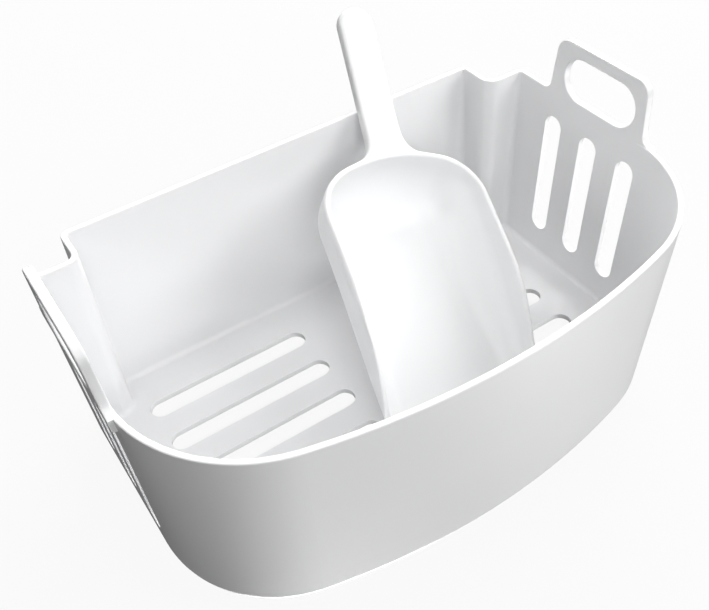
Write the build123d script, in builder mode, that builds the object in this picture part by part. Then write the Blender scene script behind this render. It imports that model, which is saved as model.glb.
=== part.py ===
from build123d import *
from math import atan2, cos, degrees, radians, sin, sqrt, tan
import os

os.makedirs("parts", exist_ok=True)

# Ice basket of a countertop ice maker with the ice scoop standing in it.
# Frame: origin under the middle of the basket's floor, on the surface it stands on.
# +Z is up, +X is the basket's length, and the flat back wall is on the +Y side.

# ---- basket: driving sizes (mm) ----
RIM_HALF_LENGTH = 100.0      # outer half length between the side walls at the rim
RIM_HEIGHT = 77.3            # top of the rim above the table
BACK_Y = 64.0                # outer face of the back wall
RIM_FRONT_Y = -66.3          # outer face of the front wall at the rim
SIDE_DRAFT = 3.2             # how much each side wall leans in over the full height
FRONT_DRAFT = 3.1            # how much the front wall leans in over the full height
BACK_DRAFT = 0.4             # how much the back wall leans in over the full height
WALL = 2.0
FLOOR = 2.2
BACK_HALF_LENGTH = 84.3      # half length of the straight back wall
STEP_DEPTH = 15.0            # depth of the square notch at each rear corner
NOTCH_CORNER_RADIUS = 3.2    # outside, from rim to floor
SOFT_CORNER_RADIUS = 3.6     # inside, at the floor
BOW_RADIUS = 260.0           # gentle bow of the front wall
FRONT_CORNER_RADIUS = 48.0   # large front corners
FOOT_FILLET = 2.5            # outer edge round the floor
FLOOR_FILLET = 2.0           # inner edge round the floor
RIM_EDGE = 0.45              # rounding of the rim's two edges

# ---- grip tabs above the side walls ----
TAB_TOP = 99.4
TAB_THICKNESS = 3.0
TAB_BASE_BACK_Y = 30.8
TAB_BASE_FRONT_Y = -15.5
TAB_TOP_BACK_Y = 29.0
TAB_TOP_FRONT_Y = -13.4
TAB_ROOT = 5.0               # the thicker tab runs this far down the wall
TAB_WING = 3.8               # and this far along the rim on each side
TAB_CORNER_RADIUS = 5.5
TAB_ROOT_FILLET = 3.5
TAB_FOOT_SLOPE = 0.95        # slope under the thicker tab where it meets the wall
FINGER_HOLE_LENGTH = 34.3
FINGER_HOLE_HEIGHT = 16.6
FINGER_HOLE_Y = 7.1
FINGER_HOLE_Z = 86.5

# ---- drain slots ----
SIDE_SLOT_YS = (26.0, 7.5, -11.0)
SIDE_SLOT_WIDTH = 8.5
SIDE_SLOT_BOTTOM = 14.0
SIDE_SLOT_TOP = 67.4
FLOOR_SLOT_YS = (41.2, 23.1, 5.1, -13.0)
FLOOR_SLOT_WIDTH = 8.3
FLOOR_SLOT_INNER_X = 12.2
FLOOR_SLOT_OUTER_X = 78.4

# ---- scoop: sizes in its own frame (x across, y towards the handle, z out of the bowl) ----
SCOOP_WALL = 1.8
BOWL_HALF_WIDTH = 32.6
MOUTH_HALF_WIDTH = 31.6
BOWL_DEPTH = 24.5
BOWL_DRAFT = 1.2             # degrees
SHOULDER_Y = -23.5           # where the shoulder meets the straight side
SHOULDER_RADIUS = 19.0
REAR_RADIUS = 58.0
MOUTH_Y = -95.0
MOUTH_BOW = 3.0              # the lip of the mouth curves out by this much
RIM_DROP_Y = -44.0           # the side rims start to fall here
RIM_DROP_RADIUS = 78.8
RIM_DROP_ANGLE = 48.0        # degrees of that arc, which runs out past the mouth
BOWL_EDGE_FILLET = 10.0      # outer rounding between blade and walls
HANDLE_ANGLE = 17.5          # the handle rises this much above the bowl's rim plane
HANDLE_HALF_WIDTH = 7.1
HANDLE_END = 55.2            # from the bend to the round end
HANDLE_DEPTH = 4.75
NECK_FLARE_RADIUS = 6.5
NECK_ROOT_Y = -3.7
HANDLE_INSIDE_Y = -8.0       # the bar starts here, inside the bowl
HANDLE_HOLLOW_Y = 3.0        # the channel under the handle starts here

# ---- where the scoop stands: mouth on the floor, handle over the back rim ----
SCOOP_ORIGIN = (34.4, 45.8, 68.92)
SCOOP_HEADING = -13.3        # turned towards +X
SCOOP_TILT = 24.8            # handle end up
SCOOP_ROLL = 12.1            # right-hand side down


def basket_plan(height, inset, corner_radius, valley_radius):
    """Sketch of the basket's plan at a height: leant in by the draft, inset by a wall thickness,
    with the corners and valleys of the rear notches rounded."""
    lean = 1 - height / RIM_HEIGHT
    half = RIM_HALF_LENGTH - SIDE_DRAFT * lean - inset
    back = BACK_Y - BACK_DRAFT * lean - inset
    front = RIM_FRONT_Y + FRONT_DRAFT * lean + inset
    notch_x = BACK_HALF_LENGTH - BACK_DRAFT * lean - inset
    notch_y = BACK_Y - STEP_DEPTH - BACK_DRAFT * lean - inset
    bow = BOW_RADIUS - FRONT_DRAFT * lean - inset
    corner = FRONT_CORNER_RADIUS - SIDE_DRAFT * lean - inset
    corner_x = half - corner
    reach = sqrt((bow - corner) ** 2 - corner_x**2)
    corner_y = front + bow - reach
    join = degrees(atan2(corner_x, reach))
    with BuildSketch(Plane.XY.offset(height)) as plan:
        with BuildLine():
            Polyline((0, back), (notch_x, back), (notch_x, notch_y), (half, notch_y), (half, corner_y))
            CenterArc((corner_x, corner_y), corner, join - 90, 90 - join)
            CenterArc((0, front + bow), bow, -90, join)
            mirror(about=Plane.YZ)
        make_face()
        fillet(plan.vertices().filter_by(at_corner(notch_x, notch_y)), valley_radius)
        fillet(plan.vertices().filter_by(at_corner(notch_x, back)), corner_radius)
        fillet(plan.vertices().filter_by(at_corner(half, notch_y)), corner_radius)
    return plan.sketch


def at_corner(x, y):
    """Picks a sketch's two vertices at this place, left and right."""
    return lambda v: abs(abs(v.X) - x) < RIM_EDGE and abs(v.Y - y) < RIM_EDGE


def is_broad(face):
    """True for the inner and outer faces of a grip tab."""
    return face.area > FINGER_HOLE_LENGTH * FINGER_HOLE_HEIGHT


# ---------------------------------------------------------------- basket
WALL_LEAN = atan2(SIDE_DRAFT, RIM_HEIGHT)

with BuildPart() as cavity:
    # the inside corners are crisp at the rim and soften towards the floor
    loft(
        [
            basket_plan(FLOOR, WALL, SOFT_CORNER_RADIUS, NOTCH_CORNER_RADIUS + WALL),
            basket_plan(RIM_HEIGHT, WALL, NOTCH_CORNER_RADIUS - WALL, NOTCH_CORNER_RADIUS + WALL),
        ],
        ruled=True,
    )
    fillet(cavity.faces().sort_by(Axis.Z)[0].edges(), FLOOR_FILLET)

with BuildPart() as tabs:
    # they lean with the side walls and stand a little proud of them outside
    for side in (1, -1):
        inner_face = Plane(
            origin=(side * (RIM_HALF_LENGTH - WALL), 0, RIM_HEIGHT),
            x_dir=(0, 1, 0),
            z_dir=(cos(WALL_LEAN), 0, -side * sin(WALL_LEAN)),
        )
        with BuildSketch(inner_face) as tab:
            with BuildLine():
                Polyline(
                    (TAB_BASE_BACK_Y + TAB_WING, -TAB_ROOT),
                    (TAB_BASE_BACK_Y + TAB_WING, 0),
                    (TAB_BASE_BACK_Y, 0),
                    (TAB_TOP_BACK_Y, TAB_TOP - RIM_HEIGHT),
                    (TAB_TOP_FRONT_Y, TAB_TOP - RIM_HEIGHT),
                    (TAB_BASE_FRONT_Y, 0),
                    (TAB_BASE_FRONT_Y - TAB_WING, 0),
                    (TAB_BASE_FRONT_Y - TAB_WING, -TAB_ROOT),
                    close=True,
                )
            make_face()
            fillet(tab.vertices().group_by(Axis.Y)[-1], TAB_CORNER_RADIUS)
            roots = tab.vertices().filter_by(lambda v: abs(v.Y) < 0.1)
            fillet(roots.sort_by(Axis.X)[1:3], TAB_ROOT_FILLET)
            with Locations((FINGER_HOLE_Y, FINGER_HOLE_Z - RIM_HEIGHT)):
                SlotOverall(FINGER_HOLE_LENGTH, FINGER_HOLE_HEIGHT, mode=Mode.SUBTRACT)
        extrude(amount=side * TAB_THICKNESS)
    # the proud foot is sloped off, the free edges are rounded like the rim's
    outer = tabs.faces().filter_by(is_broad).filter_by(lambda f: abs(f.center().X) > RIM_HALF_LENGTH)
    chamfer(outer.edges().group_by(Axis.Z)[0], TAB_FOOT_SLOPE)
    broad_edges = tabs.faces().filter_by(is_broad).edges()
    fillet(broad_edges.filter_by(lambda e: e.center().Z > RIM_HEIGHT + RIM_EDGE), RIM_EDGE)

with BuildPart() as basket:
    # walls and floor: a tapered shell
    loft(
        [
            basket_plan(0, 0, NOTCH_CORNER_RADIUS, NOTCH_CORNER_RADIUS),
            basket_plan(RIM_HEIGHT, 0, NOTCH_CORNER_RADIUS, NOTCH_CORNER_RADIUS),
        ],
        ruled=True,
    )
    fillet(basket.faces().sort_by(Axis.Z)[0].edges(), FOOT_FILLET)
    add(cavity.part, mode=Mode.SUBTRACT)

    # the rim's two edges
    rim_faces = basket.faces().filter_by(Plane.XY).sort_by(Axis.Z)[-1]
    fillet(rim_faces.edges(), RIM_EDGE)

    # grip tabs above the side walls
    add(tabs.part)

    # drain slots through both side walls
    with BuildSketch(Plane.YZ) as side_slots:
        with Locations(*[(y, (SIDE_SLOT_BOTTOM + SIDE_SLOT_TOP) / 2) for y in SIDE_SLOT_YS]):
            SlotOverall(SIDE_SLOT_TOP - SIDE_SLOT_BOTTOM, SIDE_SLOT_WIDTH, rotation=90)
    extrude(amount=RIM_HALF_LENGTH + WALL, both=True, mode=Mode.SUBTRACT)

    # drain slots through the floor, left and right of a plain strip
    with BuildSketch(Plane.XY) as floor_slots:
        for side in (1, -1):
            middle = side * (FLOOR_SLOT_OUTER_X + FLOOR_SLOT_INNER_X) / 2
            with Locations(*[(middle, y) for y in FLOOR_SLOT_YS]):
                SlotOverall(FLOOR_SLOT_OUTER_X - FLOOR_SLOT_INNER_X, FLOOR_SLOT_WIDTH)
    extrude(amount=2 * FLOOR, mode=Mode.SUBTRACT)

basket.part.label = "basket"


# ---------------------------------------------------------------- scoop, in its own frame
def bowl_plan(inset, mouth_y):
    """Plan of the bowl: curved rear, round shoulders, nearly straight sides, open past the mouth."""
    shoulder_x = BOWL_HALF_WIDTH - SHOULDER_RADIUS
    rear_centre_y = SHOULDER_Y - sqrt((REAR_RADIUS - SHOULDER_RADIUS) ** 2 - shoulder_x**2)
    join = degrees(atan2(SHOULDER_Y - rear_centre_y, shoulder_x))
    half = BOWL_HALF_WIDTH - inset
    end_half = MOUTH_HALF_WIDTH - inset
    with BuildSketch() as plan:
        with BuildLine():
            CenterArc((0, rear_centre_y), REAR_RADIUS - inset, 90, join - 90)
            CenterArc((shoulder_x, SHOULDER_Y), SHOULDER_RADIUS - inset, join, -join)
            Polyline((half, SHOULDER_Y), (end_half, mouth_y), (0, mouth_y))
            mirror(about=Plane.YZ)
        make_face()
    return plan.sketch


def handle_section(top, bottom):
    """Lengthwise section of the handle between two heights: level at the bowl, then bent up."""
    turn = radians(HANDLE_ANGLE)
    start = SHOULDER_Y
    end = HANDLE_END + HANDLE_DEPTH
    with BuildSketch(Plane.YZ.offset(-BOWL_HALF_WIDTH)) as section:
        with BuildLine():
            Polyline(
                (start, top),
                (-top * tan(turn / 2), top),
                (end * cos(turn) - top * sin(turn), end * sin(turn) + top * cos(turn)),
                (end * cos(turn) - bottom * sin(turn), end * sin(turn) + bottom * cos(turn)),
                (-bottom * tan(turn / 2), bottom),
                (start, bottom),
                close=True,
            )
        make_face()
    return section.sketch


def handle_plan(inset, start_y, flare):
    """Round-ended bar seen square to the handle, flared into the bowl's rear wall."""
    half = HANDLE_HALF_WIDTH - inset
    arc_y = HANDLE_END - HANDLE_HALF_WIDTH
    with BuildSketch(Plane.XY.rotated((HANDLE_ANGLE, 0, 0)).offset(-BOWL_HALF_WIDTH)) as plan:
        with Locations((0, (start_y + arc_y) / 2)):
            Rectangle(2 * half, arc_y - start_y)
        with Locations((0, arc_y)):
            Circle(half)
        if flare:
            with Locations((0, NECK_ROOT_Y)):
                Rectangle(2 * (half + flare), NECK_ROOT_Y - start_y, align=(Align.CENTER, Align.MAX))
            bar_corners = plan.vertices().filter_by(lambda v: v.Y < arc_y and abs(v.X) < 2 * half)
            fillet(bar_corners.filter_by(lambda v: abs(v.X) < half + flare / 2).group_by(Axis.Y)[-1], flare)
    return plan.sketch


with BuildPart() as bowl_space:
    add(bowl_plan(SCOOP_WALL, MOUTH_Y - 3 * BOWL_EDGE_FILLET))
    extrude(amount=-(BOWL_DEPTH - SCOOP_WALL), taper=BOWL_DRAFT)
    floor_edges = bowl_space.faces().sort_by(Axis.Z)[0].edges().sort_by(Axis.Y)[1:]
    fillet(floor_edges, BOWL_EDGE_FILLET - SCOOP_WALL)

with BuildPart() as handle_space:
    extrude(handle_section(-SCOOP_WALL, -2 * HANDLE_DEPTH), amount=2 * BOWL_HALF_WIDTH)
    extrude(handle_plan(SCOOP_WALL, HANDLE_HOLLOW_Y, 0), amount=2 * BOWL_HALF_WIDTH, mode=Mode.INTERSECT)

with BuildPart() as handle_bar:
    extrude(handle_section(0, -HANDLE_DEPTH), amount=2 * BOWL_HALF_WIDTH)
    bar_plan = handle_plan(0, HANDLE_INSIDE_Y, NECK_FLARE_RADIUS)
    extrude(bar_plan, amount=2 * BOWL_HALF_WIDTH, mode=Mode.INTERSECT)

REACH = BOWL_HALF_WIDTH + SCOOP_WALL      # clears the bowl's sides

with BuildPart() as upright_scoop:
    # bowl block with a rounded underside
    add(bowl_plan(0, MOUTH_Y - 3 * BOWL_EDGE_FILLET))
    extrude(amount=-BOWL_DEPTH, taper=BOWL_DRAFT)
    floor_edges = upright_scoop.faces().sort_by(Axis.Z)[0].edges().sort_by(Axis.Y)[1:]
    fillet(floor_edges, BOWL_EDGE_FILLET)

    # handle, with a small flare where it meets the bowl
    add(handle_bar.part)

    # hollow bowl, hollow handle
    add(bowl_space.part, mode=Mode.SUBTRACT)
    add(handle_space.part, mode=Mode.SUBTRACT)

    # side rims fall in an arc to the mouth
    with BuildSketch(Plane.YZ):
        with BuildLine():
            drop = CenterArc((RIM_DROP_Y, -RIM_DROP_RADIUS), RIM_DROP_RADIUS, 90, RIM_DROP_ANGLE)
            low = (drop @ 1).Y
            Polyline(
                drop @ 1,
                (2 * MOUTH_Y, low),
                (2 * MOUTH_Y, BOWL_DEPTH),
                (RIM_DROP_Y, BOWL_DEPTH),
                drop @ 0,
            )
        make_face()
    extrude(amount=2 * BOWL_HALF_WIDTH, both=True, mode=Mode.SUBTRACT)

    # the lip of the mouth is bowed
    with BuildSketch():
        with BuildLine():
            lip = ThreePointArc((-REACH, MOUTH_Y), (0, MOUTH_Y - MOUTH_BOW), (REACH, MOUTH_Y))
            Polyline(lip @ 1, (REACH, 2 * MOUTH_Y), (-REACH, 2 * MOUTH_Y), lip @ 0)
        make_face()
    extrude(amount=2 * BOWL_DEPTH, both=True, mode=Mode.SUBTRACT)

# the scoop stands in the basket: mouth on the floor, underside of the neck on the back rim
turns = Rot(0, 0, SCOOP_HEADING) * Rot(SCOOP_TILT, 0, 0) * Rot(0, SCOOP_ROLL, 0)
with BuildPart() as scoop:
    add(upright_scoop.part.moved(Pos(*SCOOP_ORIGIN) * turns))
scoop.part.label = "scoop"

export_step(basket.part, "parts/basket.step")
export_step(scoop.part, "parts/scoop.step")
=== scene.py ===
from math import cos, radians, sin

import bpy
import numpy as np
from mathutils import Matrix, Vector


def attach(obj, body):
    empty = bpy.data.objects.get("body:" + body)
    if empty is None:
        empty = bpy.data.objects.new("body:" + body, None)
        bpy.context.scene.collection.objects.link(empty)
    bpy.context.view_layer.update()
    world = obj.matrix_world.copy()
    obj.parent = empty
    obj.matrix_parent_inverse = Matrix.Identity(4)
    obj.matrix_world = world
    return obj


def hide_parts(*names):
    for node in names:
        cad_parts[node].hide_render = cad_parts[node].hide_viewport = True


# Ice basket of a countertop ice maker with its scoop: white mouldings before an even white backdrop.

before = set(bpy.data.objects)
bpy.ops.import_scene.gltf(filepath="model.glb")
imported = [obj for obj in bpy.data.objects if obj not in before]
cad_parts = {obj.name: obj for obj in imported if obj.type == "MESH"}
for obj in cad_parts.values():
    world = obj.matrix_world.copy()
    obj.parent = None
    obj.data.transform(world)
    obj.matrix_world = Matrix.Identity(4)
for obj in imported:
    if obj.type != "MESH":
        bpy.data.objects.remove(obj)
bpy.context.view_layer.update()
MM = 0.001


def mesh_object(name, points, faces, material):
    """New object in the scene, made from points and faces, with one material."""
    mesh = bpy.data.meshes.new(name)
    mesh.from_pydata(points, [], faces)
    mesh.materials.append(material)
    piece = bpy.data.objects.new(name, mesh)
    bpy.context.scene.collection.objects.link(piece)
    return piece


# ---------------------------------------------------------------- materials
PLASTIC_IOR = 1.49
TINT_SCALE, TINT_SHARE = 22, 0.985           # the colour drifts between itself and this share of it
GLOSS_SCALE, GLOSS_SPREAD = 70, 0.02         # handling marks: the roughness drifts this much either way
GRAIN_SCALE, GRAIN_DEPTH = 700, 0.004 * MM   # fine moulding grain
WAVE_SCALE, WAVE_DEPTH = 40, 0.25 * MM       # slow sink waves
NOISE_LOW, NOISE_HIGH = 0.2, 0.8             # the part of a noise's range that a drift uses


def plastic(name, colour, roughness, seed):
    """White moulded plastic with a faint drift in tint and gloss, a fine grain and slow waves."""
    material = bpy.data.materials.new(name)
    material.use_nodes = True
    nodes = material.node_tree.nodes
    links = material.node_tree.links
    shader = nodes["Principled BSDF"]
    shader.inputs["IOR"].default_value = PLASTIC_IOR
    place = nodes.new("ShaderNodeTexCoord").outputs["Object"]

    def noise(scale, detail):
        node = nodes.new("ShaderNodeTexNoise")
        node.noise_dimensions = "4D"
        node.inputs["W"].default_value = seed
        node.inputs["Scale"].default_value = scale
        node.inputs["Detail"].default_value = detail
        links.new(place, node.inputs["Vector"])
        return node.outputs["Fac"]

    def drift(value, low, high):
        node = nodes.new("ShaderNodeMapRange")
        node.interpolation_type = "SMOOTHSTEP"
        node.inputs["From Min"].default_value = NOISE_LOW
        node.inputs["From Max"].default_value = NOISE_HIGH
        node.inputs["To Min"].default_value = low
        node.inputs["To Max"].default_value = high
        links.new(value, node.inputs["Value"])
        return node.outputs["Result"]

    def bump(height, depth, under=None):
        node = nodes.new("ShaderNodeBump")
        node.inputs["Strength"].default_value = 1.0
        node.inputs["Distance"].default_value = depth
        links.new(height, node.inputs["Height"])
        if under:
            links.new(under, node.inputs["Normal"])
        return node.outputs["Normal"]

    tint = nodes.new("ShaderNodeMix")
    tint.data_type = "RGBA"
    tint.inputs["A"].default_value = (*[c * TINT_SHARE for c in colour], 1)
    tint.inputs["B"].default_value = (*colour, 1)
    links.new(drift(noise(TINT_SCALE, 2), 0, 1), tint.inputs["Factor"])
    links.new(tint.outputs["Result"], shader.inputs["Base Color"])
    gloss = drift(noise(GLOSS_SCALE, 2), roughness - GLOSS_SPREAD, roughness + GLOSS_SPREAD)
    links.new(gloss, shader.inputs["Roughness"])
    grain = bump(noise(GRAIN_SCALE, 1), GRAIN_DEPTH)
    links.new(bump(noise(WAVE_SCALE, 1), WAVE_DEPTH, grain), shader.inputs["Normal"])
    return material


basket_plastic = plastic("basket_plastic", (0.82, 0.822, 0.828), 0.36, 1.0)
scoop_plastic = plastic("scoop_plastic", (0.84, 0.844, 0.848), 0.32, 4.0)


# ---------------------------------------------------------------- basket
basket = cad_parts["basket"]
basket.data.materials.clear()
basket.data.materials.append(basket_plastic)


# ---------------------------------------------------------------- scoop
# Sizes in millimetres in the scoop's own frame: x across, y towards the handle, z out of the bowl.
WALL = 1.8
HALF_WIDTH, MOUTH_HALF_WIDTH = 32.6, 31.6
DEPTH, DRAFT = 24.5, 0.021                   # the draft is a slope
SHOULDER_Y, SHOULDER_RADIUS, REAR_RADIUS = -23.5, 19.0, 58.0
MOUTH_Y, MOUTH_BOW_RADIUS = -98.0, 198.7
RIM_DROP_Y, RIM_DROP_RADIUS = -44.0, 78.8    # the rim is level behind here and falls in an arc before it
TROUGH_REAR, TROUGH_MOUTH = 14.5, 8.0        # outside rounding between blade and walls
TROUGH_EXTRA = 3.5                           # more on the inside at the rear, evenly less forward
HANDLE_ANGLE = radians(17.5)
HANDLE_HALF_WIDTH, HANDLE_END, HANDLE_DEPTH, HANDLE_EDGE = 7.1, 55.2, 4.75, 1.5
HOLLOW_START, HOLLOW_EDGE = 3.0, 0.5         # channel under the handle
NECK_FLARE, NECK_BEND, NECK_FILLET = 9.0, 5.0, 1.2
LIP_ROUNDING = 0.8
SCOOP_PLACE = (Matrix.Translation((34.4, 45.8, 68.92)) @ Matrix.Rotation(radians(-13.3), 4, "Z")
               @ Matrix.Rotation(radians(24.8), 4, "X") @ Matrix.Rotation(radians(12.1), 4, "Y"))

# The grid that its mesh is made on, and how the mesh is then settled on the surface.
GRID_LOW, GRID_HIGH, GRID_STEP = (-34.25, -100.25, -26.25), (34.25, 55.0, 19.0), 0.5
SETTLING_STEPS, NUDGE, LEAST_SLOPE = 4, 0.02, 0.3


def soft_min(a, b, width):
    """Smaller of two distances with a fillet of about this width where they meet."""
    blend = np.clip(0.5 + 0.5 * (b - a) / width, 0, 1)
    return b + (a - b) * blend - width * blend * (1 - blend)


def soft_max(a, b, width):
    """Larger of two distances, softened the same way."""
    return -soft_min(-a, -b, width)


def rounded(u, v, radius):
    """Distance to a corner of two faces, rounded to this radius."""
    a = u + radius
    b = v + radius
    return np.hypot(np.maximum(a, 0), np.maximum(b, 0)) + np.minimum(np.maximum(a, b), 0) - radius


def bowl_plan(x, y):
    """Distance outside the bowl's outline: curved rear, round shoulders, nearly straight sides."""
    shoulder_x = HALF_WIDTH - SHOULDER_RADIUS
    core = REAR_RADIUS - SHOULDER_RADIUS
    centre_y = SHOULDER_Y - np.sqrt(core**2 - shoulder_x**2)
    side = np.abs(x)
    taper = (HALF_WIDTH - MOUTH_HALF_WIDTH) / (SHOULDER_Y - MOUTH_Y)
    straight = side - HALF_WIDTH + np.maximum(SHOULDER_Y - y, 0) * taper
    rear = np.hypot(side, y - centre_y) - REAR_RADIUS
    shoulder = np.hypot(side - shoulder_x, y - SHOULDER_Y) - SHOULDER_RADIUS
    past_rear = (y - centre_y) * shoulder_x < side * (SHOULDER_Y - centre_y)
    behind = np.where(past_rear, np.where(side > shoulder_x, shoulder, straight), rear)
    return np.where(y > SHOULDER_Y, behind, straight)


def scoop_distance(x, y, z):
    """Signed distance to the scoop's surface, negative inside the plastic."""
    plan = bowl_plan(x, y)
    share = np.clip((SHOULDER_Y - y) / (SHOULDER_Y - MOUTH_Y), 0, 1)
    trough = TROUGH_REAR + (TROUGH_MOUTH - TROUGH_REAR) * share * share * (3 - 2 * share)
    bowl = rounded(plan - z * DRAFT, -z - DEPTH, trough)
    inner_trough = trough + TROUGH_EXTRA * (1 - share)
    bowl_space = rounded(plan - z * DRAFT + WALL, -z - DEPTH + WALL, inner_trough)

    # handle: level at the bowl, bent up at the neck, flared into the rear wall
    along = y * cos(HANDLE_ANGLE) + z * sin(HANDLE_ANGLE)
    above = z * cos(HANDLE_ANGLE) - y * sin(HANDLE_ANGLE)
    arc_y = HANDLE_END - HANDLE_HALF_WIDTH
    bar = np.where(along > arc_y, np.hypot(x, along - arc_y), np.abs(x)) - HANDLE_HALF_WIDTH
    top = soft_min(z, above, NECK_BEND)
    bottom = np.maximum(-z, -above) - HANDLE_DEPTH
    handle = rounded(soft_min(bar, plan, NECK_FLARE), np.maximum(top, bottom), HANDLE_EDGE)
    channel = np.maximum(np.maximum(bar, above) + WALL, HOLLOW_START - along)
    handle = soft_max(handle, -channel, HOLLOW_EDGE)
    body = soft_min(bowl, handle, NECK_FILLET)

    # hollow bowl with its rim cut level, then falling in an arc, and a bowed mouth
    fall = np.hypot(y - RIM_DROP_Y, z + RIM_DROP_RADIUS) - RIM_DROP_RADIUS
    rim = np.where(y < RIM_DROP_Y, fall, top)
    mouth = np.hypot(x, y - MOUTH_Y - MOUTH_BOW_RADIUS) - MOUTH_BOW_RADIUS
    for cut in (-bowl_space, rim, mouth):
        body = soft_max(body, cut, LIP_ROUNDING)
    return body


def crossed_cells(field, solid):
    """A point in each grid cell that the surface crosses, and a grid with those points' numbers."""
    total = np.zeros([n - 1 for n in field.shape] + [3])
    count = np.zeros(total.shape[:3])
    corners = [(i, j, k) for i in (0, 1) for j in (0, 1) for k in (0, 1)]
    views = {c: tuple(slice(o, n - 1 + o) for o, n in zip(c, field.shape)) for c in corners}
    for start in corners:
        for axis in range(3):
            if start[axis]:
                continue
            end = tuple(offset + (axis == n) for n, offset in enumerate(start))
            crossed = solid[views[start]] != solid[views[end]]
            gap = np.where(crossed, field[views[start]] - field[views[end]], 1)
            share = np.where(crossed, field[views[start]] / gap, 0)
            for n in range(3):
                total[..., n] += np.where(crossed, start[n] + (share if n == axis else 0), 0)
            count += crossed
    cells = np.argwhere(count > 0)
    used = tuple(cells.T)
    number = np.full(count.shape, -1)
    number[used] = np.arange(len(cells))
    return cells + total[used] / count[used][:, None], number


def crossed_edges(solid, number):
    """A quad for each grid edge that the surface crosses, between the four cells round it."""
    quads = []
    for axis in range(3):
        u, v = (axis + 1) % 3, (axis + 2) % 3
        near = [slice(1, n - 1) for n in solid.shape]
        far = list(near)
        near[axis] = slice(0, solid.shape[axis] - 1)
        far[axis] = slice(1, solid.shape[axis])
        start, end = solid[tuple(near)], solid[tuple(far)]
        first = [0 if n == axis else 1 for n in range(3)]
        for flip, edges in ((False, start & ~end), (True, ~start & end)):
            corner = np.argwhere(edges) + first
            ring = []
            for back_u, back_v in ((0, 0), (1, 0), (1, 1), (0, 1)):
                cell = corner.copy()
                cell[:, u] -= back_u
                cell[:, v] -= back_v
                ring.append(number[tuple(cell.T)])
            quads.append(np.stack(ring[::-1] if flip else ring, 1))
    return np.vstack(quads)


def settled(distance, points):
    """The points moved onto the surface along its slope."""
    for _ in range(SETTLING_STEPS):
        here = distance(*points.T)
        slope = [distance(*(points + NUDGE * unit).T) - here for unit in np.eye(3)]
        slope = np.stack(slope, 1) / NUDGE
        points = points - (here / np.maximum((slope**2).sum(1), LEAST_SLOPE))[:, None] * slope
    return points


def surface_of(distance):
    """Points and quads of the surface where a signed distance is zero."""
    axes = [np.arange(low, high, GRID_STEP) for low, high in zip(GRID_LOW, GRID_HIGH)]
    field = distance(*np.meshgrid(*axes, indexing="ij"))
    solid = field < 0
    cells, number = crossed_cells(field, solid)
    return settled(distance, cells * GRID_STEP + np.array(GRID_LOW)), crossed_edges(solid, number)


points, quads = surface_of(scoop_distance)
scoop = mesh_object("scoop_moulding", points.tolist(), quads.tolist(), scoop_plastic)
scoop.data.transform(Matrix.Scale(MM, 4) @ SCOOP_PLACE)
scoop.data.polygons.foreach_set("use_smooth", [True] * len(scoop.data.polygons))
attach(scoop, "scoop")
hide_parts("scoop")


# ---------------------------------------------------------------- floor
FLOOR_HALF, FLOOR_DROP, FLOOR_GLOW = 6.0, 0.3 * MM, 0.9


def lit_sheet(name, glow):
    """Evenly lit white sheet that shows next to nothing of the lights."""
    material = bpy.data.materials.new(name)
    material.use_nodes = True
    shader = material.node_tree.nodes["Principled BSDF"]
    shader.inputs["Base Color"].default_value = (0.05, 0.05, 0.05, 1)
    shader.inputs["Roughness"].default_value = 0.9
    shader.inputs["Specular IOR Level"].default_value = 0.0
    shader.inputs["Emission Color"].default_value = (1, 1, 1, 1)
    shader.inputs["Emission Strength"].default_value = glow
    return material


floor_corners = [(x * FLOOR_HALF, y * FLOOR_HALF, 0) for x, y in ((-1, -1), (1, -1), (1, 1), (-1, 1))]
floor = mesh_object("floor", floor_corners, [(0, 1, 2, 3)], lit_sheet("floor_sheet", FLOOR_GLOW))
floor.location.z = -FLOOR_DROP
# Only the camera sees it, so it doesn't light the object or shade the lights below it.
floor.visible_diffuse = False
floor.visible_glossy = False
floor.visible_shadow = False


# ---------------------------------------------------------------- light
LIGHT_TARGET = Vector((0, 0, 0.05))
LIGHT_DISTANCE, LIGHT_DIAMETER = 1.6, 0.9
# Name, compass direction from the back (90 is the right), elevation, power in watts.
LIGHTS = [
    ("back_right", 40, 32, 16.3),
    ("right", 70, 32, 12.9),
    ("key", 130, 32, 12.4),
    ("key_low", 140, -30, 10.8),
    ("front", 180, 32, 4.6),
    ("front_left", 205, 32, 3.8),
    ("front_high", 200, 60, 5.9),
    ("back_left_high", 300, 60, 5.2),
    ("top", 0, 88, 2.2),
    ("below", 0, -88, 21.7),
    ("behind", 352, 18, 9.0),
    ("left_low", 270, 10, 1.6),
]
BACKDROP_GLOW = 0.95


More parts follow.
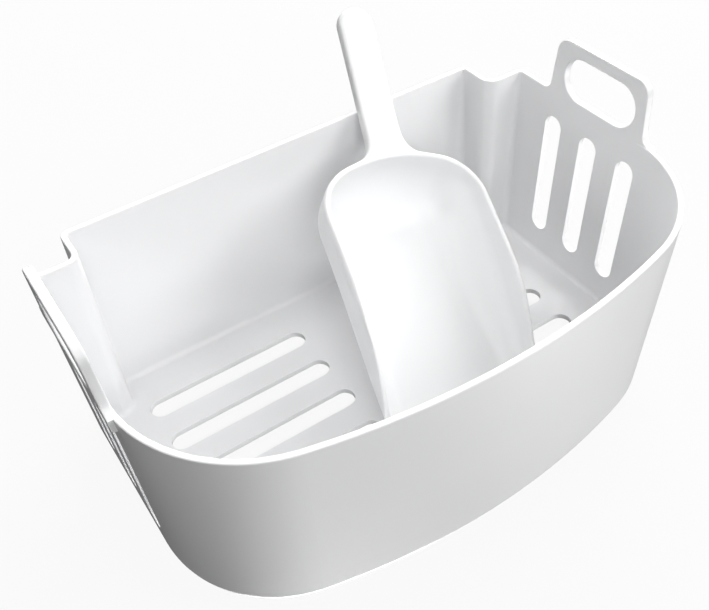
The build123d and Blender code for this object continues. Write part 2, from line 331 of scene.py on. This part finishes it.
def softbox(name, azimuth, elevation, power):
    """A round area light in this direction from the target, facing it."""
    light = bpy.data.lights.new(name, "AREA")
    light.shape = "DISK"
    light.size = LIGHT_DIAMETER
    light.energy = power
    lamp = bpy.data.objects.new(name, light)
    bpy.context.scene.collection.objects.link(lamp)
    across = cos(radians(elevation))
    away = Vector((sin(radians(azimuth)) * across, cos(radians(azimuth)) * across, sin(radians(elevation))))
    lamp.location = LIGHT_TARGET + away * LIGHT_DISTANCE
    lamp.rotation_euler = away.to_track_quat("Z", "Y").to_euler()


for name, azimuth, elevation, power in LIGHTS:
    softbox(name, azimuth, elevation, power)

# The world is only the backdrop that the camera sees: the softboxes do all the lighting.
world = bpy.data.worlds.new("studio")
world.use_nodes = True
background = world.node_tree.nodes["Background"]
background.inputs["Color"].default_value = (1, 1, 1, 1)
background.inputs["Strength"].default_value = BACKDROP_GLOW
world.cycles_visibility.diffuse = False
world.cycles_visibility.glossy = False
world.cycles_visibility.transmission = False
bpy.context.scene.world = world
bpy.context.scene.view_settings.view_transform = "Standard"


# ---------------------------------------------------------------- camera
CAMERA_PLACE = (-0.118212, -0.182112, 0.261867)
YAW, PITCH, ROLL = 0.5287, 0.782, -0.0776    # turned right of +Y, looking down, tilted, in radians
LENS, SENSOR_WIDTH = 45.61, 36
CLIP_START = 0.01

forward = Vector((sin(YAW) * cos(PITCH), cos(YAW) * cos(PITCH), -sin(PITCH)))
right = Vector((cos(YAW), -sin(YAW), 0))
up = right.cross(forward)
right_rolled = cos(ROLL) * right + sin(ROLL) * up
up_rolled = -sin(ROLL) * right + cos(ROLL) * up
turn = Matrix((right_rolled, up_rolled, -forward)).transposed().to_4x4()

camera_data = bpy.data.cameras.new("camera")
camera_data.lens = LENS
camera_data.sensor_width = SENSOR_WIDTH
camera_data.clip_start = CLIP_START
camera = bpy.data.objects.new("camera", camera_data)
bpy.context.scene.collection.objects.link(camera)
camera.matrix_world = Matrix.Translation(CAMERA_PLACE) @ turn
bpy.context.scene.camera = camera
